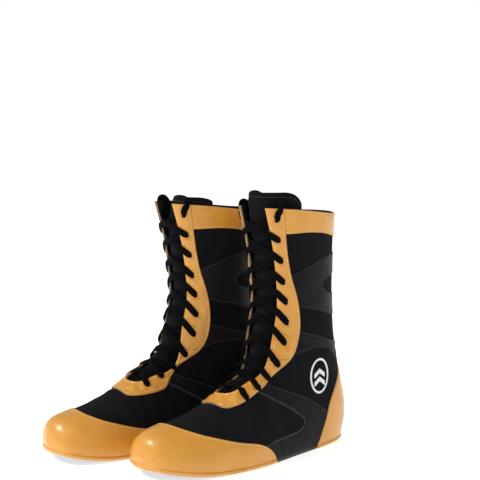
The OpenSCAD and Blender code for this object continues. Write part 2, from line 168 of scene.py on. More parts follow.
def signed(curve, a, b, smooth=6):
    """Distance from (a, b) to a curve, positive on its left; the ends run on straight."""
    line = along(curve, np.linspace(0, len(curve) - 1, smooth * (len(curve) - 1) + 1))
    first, final = unit(line[0] - line[1]), unit(line[-1] - line[-2])
    line = np.vstack([line[0] + 200 * first, line, line[-1] + 200 * final])
    start, step = line[:-1], np.diff(line, axis=0)
    best = np.full(np.shape(a), 1e9)
    sign = np.ones(np.shape(a))
    for (sy, sz), (dy, dz) in zip(start, step):
        py, pz = a - sy, b - sz
        u = np.clip((py * dy + pz * dz) / (dy * dy + dz * dz), 0, 1)
        away = np.hypot(py - u * dy, pz - u * dz)
        nearer = away < best - 1e-9
        best = np.where(nearer, away, best)
        sign = np.where(nearer, np.where(dy * pz - dz * py >= 0, 1.0, -1.0), sign)
    return best * sign


def side_field(curve, keep=1, shift=0.0):
    return lambda p: keep * signed(curve, p[:, 1], p[:, 2]) - shift


def smoothstep(x):
    x = np.clip(x, 0, 1)
    return x * x * (3 - 2 * x)


def facing(p):
    """Positive inside the outer edge of the facing."""
    plan = signed(THROAT_OUT, np.abs(p[:, 0]), p[:, 1])
    beside = signed(FACING_BACK, p[:, 1], p[:, 2])
    share = smoothstep((p[:, 1] - 138) / 26)
    return (1 - share) * plan + share * beside


def opening(p):
    """Positive outside the opening between the facings."""
    inside = -signed(THROAT_IN, np.abs(p[:, 0]), p[:, 1])
    behind = p[:, 1] > 214
    return np.where(behind | (p[:, 2] < 45), 50.0, inside)


HOLE_POINTS = np.concatenate([skin(*np.array([[t, s * a] for t, a in HOLES]).T, 1.2) for s in (1, -1)])


def hole_distance(p):
    return np.min([np.linalg.norm(p - h, axis=1) for h in HOLE_POINTS], axis=0)


def holes(p):
    return hole_distance(p) - HOLE_R


def floor(p):
    return height(p) - UPPER_Z


def height(p):
    """Height above the curved underside of the sole."""
    return p[:, 2] - lift(p[:, 1])


cap = side_field(CAP_EDGE, -1)
counter = side_field(COUNTER_EDGE, -1)
vamp = side_field(VAMP_EDGE)
collar_edge = side_field(COLLAR_EDGE, -1)
window = side_field(WINDOW, -1)


def minus(field, gap=0.0):
    return lambda p: -field(p) - gap


def either(*fields):
    return lambda p: np.max([f(p) for f in fields], axis=0)


def half(side, gap=0.0):
    return lambda p: side * p[:, 0] - gap


# ---- Patches of the surface --------------------------------------------------------------

def halved(q):
    """Two triangles for each quad, from the quads' four corners."""
    return np.concatenate([np.stack([q[0], q[1], q[2]], 1), np.stack([q[0], q[2], q[3]], 1)])


def grid(cell, t_low=0.0, t_high=12.9, turn=180.0):
    """Triangles over the surface, about cell millimetres wide, between two places and angles."""
    fine = np.linspace(t_low, t_high, 900)
    guides = [skin(fine, a) for a in ((0, 90, 180, -90) if turn > 90 else (0, 40, -40))]
    steps = np.mean([np.linalg.norm(np.diff(g, axis=0), axis=1) for g in guides], axis=0)
    length = np.concatenate([[0], np.cumsum(steps)])
    rows = np.interp(np.linspace(0, length[-1], int(length[-1] / cell) + 1), length, fine)
    whole = turn >= 180
    girth = 300 * turn / 180
    angles = np.linspace(-turn, turn, int(girth / cell) + 1)
    if whole:
        angles = angles[:-1]
    t, a = np.meshgrid(rows, angles, indexing="ij")
    n, m = t.shape
    i, j = np.meshgrid(np.arange(n - 1), np.arange(m if whole else m - 1), indexing="ij")
    k = (j + 1) % m
    q = [(i * m + j).ravel(), (i * m + k).ravel(), ((i + 1) * m + k).ravel(), ((i + 1) * m + j).ravel()]
    tri = halved(q)
    a = np.radians(a.ravel())
    return {"t": t.ravel(), "c": np.cos(a), "s": np.sin(a), "tri": tri, "place": on_upper}


def ground(cell):
    """The same on the ground under a boot: t is y and c is x."""
    y, x = np.meshgrid(np.arange(-8, 308, cell), np.arange(-64, 64, cell), indexing="ij")
    n, m = x.shape
    i, j = (v.ravel() for v in np.meshgrid(np.arange(n - 1), np.arange(m - 1), indexing="ij"))
    q = [i * m + j, i * m + j + 1, (i + 1) * m + j + 1, (i + 1) * m + j]
    tri = halved(q)
    return {"t": y.ravel(), "c": x.ravel(), "s": np.zeros(x.size), "tri": tri, "place": on_ground}


def on_upper(t, c, s, d):
    return skin(t, np.degrees(np.arctan2(s, c)), d)


def on_ground(t, c, s, d):
    return np.stack([c, t, lift(t) + d], -1)


def angle_of(patch):
    return np.degrees(np.arctan2(patch["s"], patch["c"]))


def points(patch, d=1.2):
    return patch["place"](patch["t"], patch["c"], patch["s"], d + np.zeros(len(patch["t"])))


def cut(patch, field, level=0.0, drop=True):
    """Splits the triangles along field = level and drops those below it.
    Returns the patch and the cut's edges."""
    tri, n = patch["tri"], len(patch["t"])
    used = np.unique(tri)
    f = np.full(n, 1.0)
    some = dict({k: patch[k][used] for k in "tcs"}, place=patch["place"])
    f[used] = field(points(some)) - level
    f = np.where(np.abs(f) < 1e-3, 1e-3, f)
    inside = f[tri] > 0
    count = inside.sum(1)
    mixed = (count == 1) | (count == 2)
    lone_in = count[mixed] == 1
    first = np.where(lone_in, inside[mixed].argmax(1), inside[mixed].argmin(1))
    v = np.take_along_axis(tri[mixed], (first[:, None] + np.arange(3)) % 3, 1)
    edges = np.concatenate([v[:, [0, 1]], v[:, [0, 2]]])
    low, high = edges.min(1), edges.max(1)
    _, index, back = np.unique(low * n + high, return_index=True, return_inverse=True)
    low, high = low[index], high[index]
    share = f[low] / (f[low] - f[high])
    for _ in range(2):
        made = {k: patch[k][low] * (1 - share) + patch[k][high] * share for k in "tcs"}
        made["place"] = patch["place"]
        if len(share):
            error = (field(points(made)) - level) / (f[low] - f[high])
            share = np.clip(share + error, 0.001, 0.999)
    made = {k: patch[k][low] * (1 - share) + patch[k][high] * share for k in "tcs"}
    new = n + back.reshape(2, -1)
    a, b = new[0], new[1]
    small = np.stack([v[:, 0], a, b], 1)
    large = np.concatenate([np.stack([a, v[:, 1], v[:, 2]], 1), np.stack([a, v[:, 2], b], 1)])
    twice = np.concatenate([lone_in, lone_in])
    kept = [tri[count == 3], small[lone_in], large[~twice]]
    if not drop:
        kept += [tri[count == 0], small[~lone_in], large[twice]]
    out = {k: np.concatenate([patch[k], made[k]]) for k in "tcs"}
    out["place"] = patch["place"]
    out["tri"] = np.concatenate(kept)
    return out, np.stack([a, b], 1)


def near(patch, fields, margin=6.0):
    """The triangles that lie inside every field, or within a margin of it."""
    keep = np.ones(len(patch["t"]), bool)
    p = points(patch)
    for f in fields:
        keep &= f(p) > -margin
    return dict(patch, tri=patch["tri"][keep[patch["tri"]].any(1)])


def chains(edges):
    """Edges joined end to end into lists of vertices."""
    follow = {}
    for a, b in edges.tolist():
        if a != b:
            follow.setdefault(a, set()).add(b)
            follow.setdefault(b, set()).add(a)
    lines = []
    while follow:
        ends = [v for v, w in follow.items() if len(w) == 1]
        v = min(ends) if ends else min(follow)
        line = [v]
        while follow.get(v):
            w = min(follow[v])
            follow[v].discard(w)
            follow[w].discard(v)
            if not follow[v]:
                del follow[v]
            line.append(w)
            v = w
        follow.pop(v, None)
        if len(line) > 3:
            lines.append(line)
    return lines


# ---- Making Blender objects ----------------------------------------------------------------

def make(name, verts, tris, material, side, uv=None, sharp=40.0, edge=None):
    """A mesh object from triangles in boot coordinates. edge is (first triangle, material) of a cut edge."""
    tris = np.asarray(tris)
    if side < 0:
        tris = tris[:, ::-1]
        uv = None if uv is None else uv.reshape(-1, 3, 2)[:, ::-1].reshape(-1, 2)
    mesh = bpy.data.meshes.new(name)
    mesh.vertices.add(len(verts))
    mesh.vertices.foreach_set("co", put(verts, side).astype(np.float32).ravel())
    mesh.loops.add(len(tris) * 3)
    mesh.loops.foreach_set("vertex_index", tris.astype(np.int32).ravel())
    mesh.polygons.add(len(tris))
    mesh.polygons.foreach_set("loop_start", np.arange(0, len(tris) * 3, 3, dtype=np.int32))
    mesh.update(calc_edges=True)
    if uv is not None:
        layer = mesh.uv_layers.new(name="UVMap")
        layer.data.foreach_set("uv", uv.astype(np.float32).ravel())
    mesh.polygons.foreach_set("use_smooth", np.ones(len(mesh.polygons), bool))
    mesh.set_sharp_from_angle(angle=math.radians(sharp))
    mesh.materials.append(material)
    if edge is not None:
        mesh.materials.append(edge[1])
        mesh.polygons.foreach_set("material_index", (np.arange(len(tris)) >= edge[0]).astype(np.int32))
    thing = bpy.data.objects.new(name, mesh)
    bpy.context.scene.collection.objects.link(thing)
    return thing


def boundary(tris):
    """Directed edges that belong to one triangle only."""
    e = np.concatenate([tris[:, [0, 1]], tris[:, [1, 2]], tris[:, [2, 0]]])
    n = int(tris.max()) + 1
    key, mirror = e[:, 0] * n + e[:, 1], e[:, 1] * n + e[:, 0]
    return e[~np.isin(key, mirror)]


def shell(patch, d_in, d_out):
    """Closed solid between two layers of a patch: vertices, triangles and UVs in metres."""
    tri = patch["tri"]
    used, tri = np.unique(tri, return_inverse=True)
    tri = tri.reshape(-1, 3)
    some = {k: patch[k][used] for k in "tcs"}
    t, a = some["t"], angle_of(some)
    low = np.broadcast_to(d_in, patch["t"].shape)[used]
    high = np.broadcast_to(d_out, patch["t"].shape)[used]
    n = len(used)
    verts = np.concatenate([patch["place"](t, some["c"], some["s"], d) for d in (high, low)])
    edge = boundary(tri)
    wall = np.concatenate([np.stack([edge[:, 1], edge[:, 0], edge[:, 0] + n], 1),
                           np.stack([edge[:, 1], edge[:, 0] + n, edge[:, 1] + n], 1)])
    tris = np.concatenate([tri, tri[:, ::-1] + n, wall])
    if patch["place"] is on_ground:
        return verts, tris, verts[tris][:, :, :2].reshape(-1, 2) * MM
    angle = np.concatenate([a, a])[tris]
    turn = np.where(angle.max(1, keepdims=True) - angle.min(1, keepdims=True) > 180, 360, 0)
    angle = angle + np.where(angle < 0, turn, 0)
    around = angle / 360 * 0.3
    length = np.interp(np.concatenate([t, t])[tris], PLACES, LENGTHS) * MM
    return verts, tris, np.stack([around, length], -1).reshape(-1, 2)


PLACES = np.linspace(0, 13, 400)
LENGTHS = np.concatenate([[0], np.cumsum(np.linalg.norm(np.diff(skin(PLACES, 60), axis=0), axis=1))])


def ripples(p, size, seed, count=7):
    """Smooth pseudo-random relief from -1 to 1 with bumps about size millimetres across."""
    rng = np.random.default_rng(seed)
    total = np.zeros(len(p))
    for _ in range(count):
        direction = unit(rng.normal(size=3)) * 2 * math.pi / (size * rng.uniform(0.7, 1.6))
        total += np.sin(p @ direction + rng.uniform(0, 6.28))
    return total / count


RIM_BANDS = (0.3, 0.7, 1.2)
SEAM_REACH, GROOVE_DEEP, GROOVE_WIDE = 0.7, 0.28, 0.55
STITCH_PITCH, STITCH_LENGTH, STITCH_R, STITCH_SIDES = 2.9, 2.2, 0.34, 6


def both(name, node, verts, tris, material, uv=None, sharp=40.0, edge=None, sides=SIDES):
    """The piece on both boots, standing for a CAD node (or for nothing)."""
    made = []
    for prefix, side in sides.items():
        thing = make(f"{prefix}_{name}", verts, tris, material, side, uv, sharp, edge)
        if node:
            nodes = [f"{prefix}_{n}" for n in node.split()]
            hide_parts(*nodes)
        made.append(thing)
    return made


def ride(things):
    for prefix, thing in zip(SIDES, things):
        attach(thing, f"{prefix}_boot")


def panel(name, node, cells, fields, d_in, thick, material, rows=(), relief=None, bands=RIM_BANDS,
          edge_share=0.5, roll=None, wall_look=None, sides=SIDES):
    """One sewn piece for both boots: a patch inside all the fields, thick with a rounded edge.
    rows are (field, level, thread material); relief(points) is added to the outer face and
    roll(points) to both faces."""
    patch = near(cells, fields)
    for f in fields:
        patch, _ = cut(patch, f)
    rim = bands[-1]
    nearest = lambda p: np.min([f(p) for f in fields], axis=0)
    for band in bands:
        patch, _ = cut(patch, nearest, band, drop=False)
    lines = []
    for field, level, thread in rows:
        for offset in (-SEAM_REACH, SEAM_REACH):
            patch, _ = cut(patch, field, level + offset, drop=False)
        patch, edges = cut(patch, field, level, drop=False)
        lines.append((chains(edges), thread))
    p = points(patch)
    inset = np.clip(nearest(p), 0, rim) / rim
    rounded = np.sqrt(np.clip(1 - (1 - inset) ** 2, 0, 1)) * (1 - edge_share) + edge_share
    d_out = d_in + thick * rounded
    for field, level, _ in rows:
        d_out -= GROOVE_DEEP * np.exp(-((field(p) - level) / GROOVE_WIDE) ** 2) * rounded
    if relief is not None:
        d_out += relief(p) * smoothstep(inset)
    if roll is not None:
        shift = roll(p)
        d_in, d_out = d_in + shift, d_out + shift
    verts, tris, uv = shell(patch, d_in, d_out)
    edge = None if wall_look is None else (2 * len(patch["tri"]), wall_look)
    made = both(name, node, verts, tris, material, uv, edge=edge, sides=sides)
    for number, (found, thread) in enumerate(lines):
        sew(f"{name}_stitches_{number + 1}", patch, found, d_out, thread, sides)
    return made


def sew(name, patch, found, d_out, material, sides=SIDES):
    """Stitches along lines of a patch's vertices. They all ride on the boot, the tongue's too."""
    centres, ways, ups = [], [], []
    a = angle_of(patch)
    for line in found:
        line = np.array(line)
        p = patch["place"](patch["t"][line], patch["c"][line], patch["s"][line], d_out[line])
        up = normal(patch["t"][line], a[line])
        length = np.concatenate([[0], np.cumsum(np.linalg.norm(np.diff(p, axis=0), axis=1))])
        count = int(length[-1] / STITCH_PITCH)
        if count < 2:
            continue
        at = (np.arange(count) + 0.5) * length[-1] / count
        pick = lambda values, s: np.stack([np.interp(s, length, values[:, k]) for k in range(3)], 1)
        centres.append(pick(p, at))
        ways.append(unit(pick(p, at + 1) - pick(p, at - 1)))
        ups.append(unit(pick(up, at)))
    if not centres:
        return
    centre, way, up = (np.concatenate(v) for v in (centres, ways, ups))
    across = unit(np.cross(up, way))
    rings = [(-0.5, 0.35, -0.1), (-0.34, 0.9, 0.12), (0, 1.0, 0.26), (0.34, 0.9, 0.12), (0.5, 0.35, -0.1)]
    n = STITCH_SIDES
    local = []
    for where, fat, high in rings:
        for k in range(n):
            turn = 2 * math.pi * k / n
            local.append((where * STITCH_LENGTH, fat * STITCH_R * math.cos(turn),
                          fat * STITCH_R * math.sin(turn) + high))
    local = np.array(local)
    verts = (centre[:, None] + local[None, :, :1] * way[:, None] + local[None, :, 1:2] * across[:, None]
             + local[None, :, 2:] * up[:, None])
    tris = []
    for r in range(len(rings) - 1):
        for k in range(n):
            q = [r * n + k, r * n + (k + 1) % n, (r + 1) * n + (k + 1) % n, (r + 1) * n + k]
            tris += [[q[0], q[2], q[1]], [q[0], q[3], q[2]]]
    last = (len(rings) - 1) * n
    tris += [[0, k, k + 1] for k in range(1, n - 1)]
    tris += [[last, last + k + 1, last + k] for k in range(1, n - 1)]
    tris = np.array(tris)[None] + (np.arange(len(centre)) * len(local))[:, None, None]
    made = both(name, "", verts.reshape(-1, 3), tris.reshape(-1, 3), material, sides=sides)
    for prefix, thing in zip(sides, made):
        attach(thing, f"{prefix}_boot")


# ---- Materials ---------------------------------------------------------------------------------

class Nodes:
    """A principled material with short calls for the nodes that feed it."""

    def __init__(self, name, **values):
        self.material = bpy.data.materials.new(name)
        self.material.use_nodes = True
        self.tree = self.material.node_tree
        self.shader = next(n for n in self.tree.nodes if n.type == "BSDF_PRINCIPLED")
        for key, value in values.items():
            self.shader.inputs[key.replace("_", " ")].default_value = value

    def add(self, kind, props=None, **inputs):
        node = self.tree.nodes.new("ShaderNode" + kind)
        for key, value in (props or {}).items():
            setattr(node, key, value)
        for key, value in inputs.items():
            socket = node.inputs[int(key[1:])] if key[0] == "i" and key[1:].isdigit() else node.inputs[key]
            if isinstance(value, bpy.types.NodeSocket):
                self.tree.links.new(value, socket)
            else:
                socket.default_value = value
        return node

    def link(self, output, name):
        self.tree.links.new(output, self.shader.inputs[name])

    def object_space(self):
        return self.add("TexCoord").outputs["Object"]

    def uv(self):
        return self.add("TexCoord").outputs["UV"]

    def noise(self, where, scale, detail=3.0, rough=0.55):
        return self.add("TexNoise", Vector=where, Scale=scale, Detail=detail, Roughness=rough).outputs["Fac"]

    def ramp(self, value, low, high, out_low=0.0, out_high=1.0):
        return self.add("MapRange", i0=value, i1=low, i2=high, i3=out_low, i4=out_high).outputs[0]

    def mix(self, share, a, b):
        node = self.add("Mix", {"data_type": "RGBA"}, i0=share)
        for socket, value in ((node.inputs[6], a), (node.inputs[7], b)):
            if isinstance(value, bpy.types.NodeSocket):
                self.tree.links.new(value, socket)
            else:
                socket.default_value = (*value, 1)
        return node.outputs[2]

    def math(self, kind, a, b=0.0):
        return self.add("Math", {"operation": kind}, i0=a, i1=b).outputs[0]

    def bump(self, layers):
        """layers are (height socket, depth in metres)."""
        normal_out = None
        for height_socket, depth in layers:
            node = self.add("Bump", Strength=1.0, Distance=depth, Height=height_socket)
            if normal_out is not None:
                self.tree.links.new(normal_out, node.inputs["Normal"])
            normal_out = node.outputs["Normal"]
        self.link(normal_out, "Normal")


def leather(name, colour, worn, rough, grain, depth, **values):
    m = Nodes(name, **values)
    where = m.object_space()
    voronoi = m.add("TexVoronoi", {"feature": "DISTANCE_TO_EDGE"}, Vector=where, Scale=1 / grain)
    cells = voronoi.outputs["Distance"]
    pores = m.ramp(cells, 0.0, 0.12)
    fine = m.noise(where, 0.7 / grain, 4.0)
    broad = m.noise(where, 34.0, 3.0)
    mottled = m.mix(m.ramp(broad, 0.32, 0.72), colour, worn)
    m.link(m.mix(m.ramp(pores, 0, 1, 0.22, 0.0), mottled, tuple(c * 0.45 for c in colour)), "Base Color")
    m.link(m.ramp(m.math("ADD", broad, m.math("MULTIPLY", fine, 0.6)), 0.5, 1.1, rough + 0.09, rough - 0.07),
           "Roughness")
    m.bump([(broad, depth * 4), (fine, depth * 1.4), (pores, depth)])
    return m.material


def weave(m, where, warp, weft):
    """Height of a plain weave from UVs in metres; warp and weft are thread pitches."""
    parts = m.add("SeparateXYZ", Vector=where)
    u = m.math("MULTIPLY", parts.outputs[0], math.pi / warp)
    v = m.math("MULTIPLY", parts.outputs[1], math.pi / weft)
    across = m.math("ABSOLUTE", m.math("SINE", u))
    down = m.math("ABSOLUTE", m.math("SINE", v))
    over = m.math("SINE", m.math("ADD", u, math.pi / 2))
    under = m.math("SINE", m.math("ADD", v, math.pi / 2))
    turn = m.ramp(m.math("MULTIPLY", over, under), -0.4, 0.4)
    return m.math("ADD", m.math("MULTIPLY", across, turn),
                  m.math("MULTIPLY", down, m.math("SUBTRACT", 1.0, turn)))


def textile(name, colour, light, warp, weft, depth, rough=0.85, **values):
    m = Nodes(name, Roughness=rough, **values)
    threads = weave(m, m.uv(), warp, weft)
    broad = m.noise(m.object_space(), 60.0, 4.0)
    fuzz = m.noise(m.object_space(), 2500.0, 2.0)
    base = m.mix(m.ramp(broad, 0.3, 0.75), colour, light)
    m.link(m.mix(m.ramp(threads, 0.15, 0.75, 0.75, 0.0), base, tuple(c * 0.3 for c in colour)), "Base Color")
    m.bump([(broad, 0.0004), (fuzz, depth * 0.5), (threads, depth)])
    return m.material


def simple(name, colour, light, rough, scale, depth, **values):
    m = Nodes(name, **values)
    spread = m.noise(m.object_space(), scale, 4.0)
    m.link(m.mix(m.ramp(spread, 0.3, 0.7), colour, light), "Base Color")
    m.link(m.ramp(spread, 0.3, 0.7, rough + 0.06, rough - 0.06), "Roughness")
    m.bump([(spread, depth)])
    return m.material


GOLD = leather("gold_leather_look", (0.70, 0.30, 0.022), (0.78, 0.36, 0.038), 0.32, 0.0011, 0.00006,
               Specular_IOR_Level=0.5, Coat_Weight=0.4, Coat_Roughness=0.24)
BLACK_LEATHER = leather("black_leather_look", (0.0048, 0.0047, 0.0064), (0.0085, 0.0082, 0.011), 0.38, 0.0010,
                        0.00009, Specular_IOR_Level=0.10)
MATT = dict(Specular_IOR_Level=0.08, Sheen_Weight=0.02, Sheen_Roughness=0.4)
CLOTH = textile("black_textile_look", (0.0060, 0.0057, 0.0078), (0.0105, 0.0100, 0.0135), 0.0009, 0.0009,
                0.00022, **MATT)
ELASTIC = textile("elastic_look", (0.0050, 0.0048, 0.0068), (0.009, 0.0085, 0.012), 0.0030, 0.0008, 0.0003,
                  **MATT)
TONGUE_CLOTH = textile("tongue_textile_look", (0.0050, 0.0048, 0.0065), (0.008, 0.0078, 0.011), 0.0007,
                       0.0011, 0.0002, **MATT)
LINING_CLOTH = textile("lining_textile_look", (0.008, 0.0075, 0.009), (0.013, 0.012, 0.015), 0.0012, 0.0012,
                       0.00015, Specular_IOR_Level=0.08, Sheen_Weight=0.03, Sheen_Roughness=0.5)
LACE_CLOTH = textile("lace_textile_look", (0.0025, 0.0025, 0.0030), (0.0045, 0.0044, 0.0052), 0.0014, 0.0016,
                     0.0003, Specular_IOR_Level=0.06)
RUBBER = simple("sole_rubber_look", (0.030, 0.020, 0.014), (0.042, 0.029, 0.021), 0.62, 300.0, 0.00012)
BOARD = simple("board_look", (0.24, 0.19, 0.12), (0.33, 0.27, 0.18), 0.8, 500.0, 0.0001)
# Light grey colour on the cut side walls of the black leather panels, which draws a thin light line along
# their edges.
BLACK_EDGE = simple("black_leather_edge", (0.045, 0.044, 0.05), (0.075, 0.073, 0.08), 0.7, 900.0, 0.00005)
GOLD_EDGE = simple("gold_leather_edge", (0.62, 0.36, 0.15), (0.74, 0.48, 0.24), 0.7, 900.0, 0.00005)
FACING_EDGE = simple("facing_raw_edge", (0.30, 0.20, 0.14), (0.42, 0.29, 0.20), 0.75, 900.0, 0.00005)
GOLD_THREAD = simple("gold_thread_look", (0.80, 0.50, 0.17), (0.88, 0.60, 0.26), 0.55, 1500.0, 0.0001,
                     Sheen_Weight=0.2)
GREY_THREAD = simple("grey_thread_look", (0.10, 0.10, 0.11), (0.16, 0.16, 0.17), 0.6, 1500.0, 0.0001,
                     Sheen_Weight=0.2)
BLACK_THREAD = simple("black_thread_look", (0.012, 0.012, 0.014), (0.022, 0.022, 0.025), 0.55, 1500.0, 0.0001,
                      Sheen_Weight=0.2)
PRINT = simple("emblem_print_look", (0.74, 0.74, 0.75), (0.84, 0.84, 0.84), 0.45, 900.0, 0.00005)
PLASTIC = simple("aglet_plastic_look", (0.006, 0.006, 0.007), (0.010, 0.010, 0.011), 0.22, 800.0, 0.00002,
                 Coat_Weight=0.3)


# ---- Camera ----------------------------------------------------------------------------------

def camera():
    """The photograph's view, fitted to the two outlines before the shaft was last moved."""
    azimuth, elevation = math.radians(53.8), math.radians(10.4)
    distance, aim_up, aim_left = 1.545, math.radians(3.94), math.radians(0.58)
    target = Vector((-0.0038, 0.0769, 0.130))
    back = Vector((math.sin(azimuth) * math.cos(elevation), -math.cos(azimuth) * math.cos(elevation),
                   math.sin(elevation)))
    eye = target + back * distance
    right = Vector((math.cos(azimuth), math.sin(azimuth), 0))
    up = back.cross(right)
    ahead = (-back + math.tan(aim_up) * up - math.tan(aim_left) * right).normalized()
    data = bpy.data.cameras.new("camera")
    data.lens, data.sensor_width = 97.7, 36.0
    thing = bpy.data.objects.new("camera", data)
    thing.location = eye
    thing.rotation_euler = ahead.to_track_quat("-Z", "Y").to_euler()
    bpy.context.scene.collection.objects.link(thing)
    bpy.context.scene.camera = thing


camera()


# ---- Laces -----------------------------------------------------------------------------------

LACE_W, LACE_T, LACE_CORNER = 7.6, 2.2, 0.7
OVER, UNDER = 3.7, -2.7
CROSS_HIGH, CROSS_LOW = -0.2, -2.5


def ribbon(route, across, width, thick, sides=10, fine=5):
    """A flat band with round edges along a route: vertices, triangles and UVs."""
    t = np.linspace(0, len(route) - 1, fine * (len(route) - 1) + 1)
    centre, w = along(route, t), unit(along(across, t))
    half_w, half_t = along(np.array(width)[:, None], t) / 2, along(np.array(thick)[:, None], t) / 2
    way = unit(np.gradient(centre, axis=0))
    w = unit(w - way * np.sum(w * way, axis=1, keepdims=True))
    n = np.cross(way, w)
    turn = 2 * np.pi * np.arange(sides) / sides
    flattened = lambda v: np.sign(v) * np.abs(v) ** LACE_CORNER
    x, y = flattened(np.cos(turn)), flattened(np.sin(turn))
    verts = centre[:, None] + w[:, None] * (half_w * x)[:, :, None] + n[:, None] * (half_t * y)[:, :, None]
    length = np.concatenate([[0], np.cumsum(np.linalg.norm(np.diff(centre, axis=0), axis=1))])
    rows = len(t)
    i, j = (v.ravel() for v in np.meshgrid(np.arange(rows - 1), np.arange(sides), indexing="ij"))
    k = (j + 1) % sides
    q = [i * sides + j, i * sides + k, (i + 1) * sides + k, (i + 1) * sides + j]
    tris = halved(q)
    cap_a = np.array([[0, m + 1, m] for m in range(1, sides - 1)])
    cap_b = np.array([[0, m, m + 1] for m in range(1, sides - 1)]) + (rows - 1) * sides
    tris = np.concatenate([tris, cap_a, cap_b])
    u = np.tile(x * LACE_W / 2, rows) * MM
    v = np.repeat(length, sides) * MM
    return verts.reshape(-1, 3), tris, np.stack([u, v], -1)[tris].reshape(-1, 2)


def strand(i, s, cross):
    """(place, angle, layer, width) from the hole in row i on side s to the next row's hole across."""
    (t0, a0), (t1, a1) = HOLES[i], HOLES[i + 1]
    rise = t1 - t0
    return [
        (t0, s * a0, -0.6, 4.4), (t0 + 0.005 * rise, s * a0, 2.7, 6.0),
        (t0 + 0.03 * rise, s * (a0 - 1.6), OVER + 0.45, 7.2),
        (t0 + 0.1 * rise, s * (a0 - 6), OVER + 0.1, LACE_W),
        (t0 + 0.26 * rise, s * a0 * 0.62, OVER - 0.9, LACE_W), (t0 + 0.5 * rise, 0, cross, LACE_W),
        (t0 + 0.74 * rise, -s * a1 * 0.52, UNDER + 0.5, LACE_W),
        (t0 + 0.88 * rise, -s * a1 * 0.78, UNDER, 7.0),
        (t0 + 0.98 * rise, -s * (a1 - 2.5), UNDER - 0.2, 5.4),
    ]


def half_lace(s):
    """Route of one half of a lace: points, directions across the band, widths."""
    route, across, width = [], [], []

    def add(stops, sign):
        t, a, d, w = np.array(stops).T
        p = skin(t, a, d)
        first, final = skin(t[0], a[0]), skin(t[-1], a[-1])
        route.extend(p)
        across.extend(sign * np.cross(normal(t, a), unit(final - first)))
        width.extend(w)

    t0, a0 = HOLES[0]
    add([(t0, s * 1.0, UNDER - 0.2, LACE_W), (t0, s * a0 * 0.5, UNDER - 0.2, LACE_W),
         (t0, s * (a0 - 3), UNDER - 0.1, 5.2)], -1)
    side = s
    for i in range(len(HOLES) - 1):
        high = (side > 0) == (i % 2 == 0)
        add(strand(i, side, CROSS_HIGH if high else CROSS_LOW), 1 if i % 2 == 0 else -1)
        side = -side
    t1, a1 = HOLES[-1]
    sign = -1 if len(HOLES) % 2 == 0 else 1
    add([(t1, side * a1, -0.6, 4.4), (t1 + 0.01, side * a1, 2.7, 6.0),
         (t1 + 0.06, side * (a1 + 1.2), OVER + 0.45, 7.2), (t1 + 0.2, side * (a1 + 3.5), OVER + 0.1, LACE_W),
         (12.1, side * 50, 3.7, LACE_W), (12.25, side * 52, 1.6, LACE_W), (12.25, side * 53.5, -1.6, LACE_W),
         (12.1, side * 55.5, -3.2, LACE_W), (11.9, side * 57, -3.5, LACE_W)], -sign)
    return np.array(route), np.array(across), width


END_ROUTE = [[11.9, 57, -3.5], [11.5, 62, -3.5], [11, 67, -3.5], [10.5, 72, -3.5], [10, 76, -3.8],
             [9.5, 77, -4.1], [9, 77, -4.3], [8.7, 77, -4.4]]
AGLET_L, AGLET_R, AGLET_REACH = 22.0, 1.7, 0.66


def laces():
    halves = [half_lace(s) for s in (1, -1)]
    parts = [ribbon(route, way, wide, np.full(len(wide), LACE_T)) for route, way, wide in halves]
    count = len(parts[0][0])
    verts = np.concatenate([parts[0][0], parts[1][0]])
    tris = np.concatenate([parts[0][1], parts[1][1] + count])
    uv = np.concatenate([parts[0][2], parts[1][2]])
    ride(both("lace_ribbon", "lace", verts, tris, LACE_CLOTH, uv))


def lathe(profile, top, way, sides=20):
    """A turned piece from a point along way: profile is (distance, radius)."""
    turn = 2 * np.pi * np.arange(sides)[:, None] / sides
    u = unit(np.cross(way, [0.0, 1.0, 0.0]))
    v = np.cross(u, way)
    rings = [top + far * way + r * (np.cos(turn) * u + np.sin(turn) * v) for far, r in profile]
    verts = np.concatenate(rings)
    tris = []
    for row in range(len(profile) - 1):
        for k in range(sides):
            a, b = row * sides + k, row * sides + (k + 1) % sides
            tris += [[a, a + sides, b + sides], [a, b + sides, b]]
    last = (len(profile) - 1) * sides
    tris += [[0, k, k + 1] for k in range(1, sides - 1)]
    tris += [[last, last + k + 1, last + k] for k in range(1, sides - 1)]
    return verts, np.array(tris)


def lace_ends():
    t, a, d = np.array(END_ROUTE).T
    for word, s in (("outer", 1), ("inner", -1)):
        route = skin(t, s * a, d)
        across = np.cross(normal(t, s * a), unit(np.gradient(route, axis=0)))
        width = [LACE_W] * 5 + [6.6, 5, 3.2]
        thick = [LACE_T] * 5 + [1.9, 2.3, 2.9]
        verts, tris, uv = ribbon(route, across, width, thick)
        ends = both(f"lace_end_{word}", "lace_ends", verts, tris, LACE_CLOTH, uv)
        down, r = AGLET_L, AGLET_R
        profile = [(-3.0, 1.45), (-2.6, 1.66), (-0.4, r), (0.6, r), (0.9, 1.5), (1.4, 1.5), (1.7, r),
                   (down - 3, r), (down - 1.2, 1.5), (down - 0.3, 1.0), (down, 0.4)]
        way = unit(skin(t[-1] - AGLET_REACH, s * a[-1], d[-1]) - route[-1])
        tips = both(f"aglet_{word}", "aglets", *lathe(profile, route[-1], way), PLASTIC)
        ride(ends)
        ride(tips)


laces()
lace_ends()


# ---- Bottom of the boot --------------------------------------------------------------------------

WHOLE = grid(2.6)
FRONT = grid(1.7, 5.0, 12.75, 80)
SOLE = ground(1.6)


def outline(level, d):
    """Plan outline of the upper at a height above the underside, d outside the panels' inner face."""
    patch, edges = cut(WHOLE, lambda p: height(p) - level)
    loop = max(chains(edges), key=len)
    return skin(patch["t"][loop], angle_of(patch)[loop], d)[:, :2]


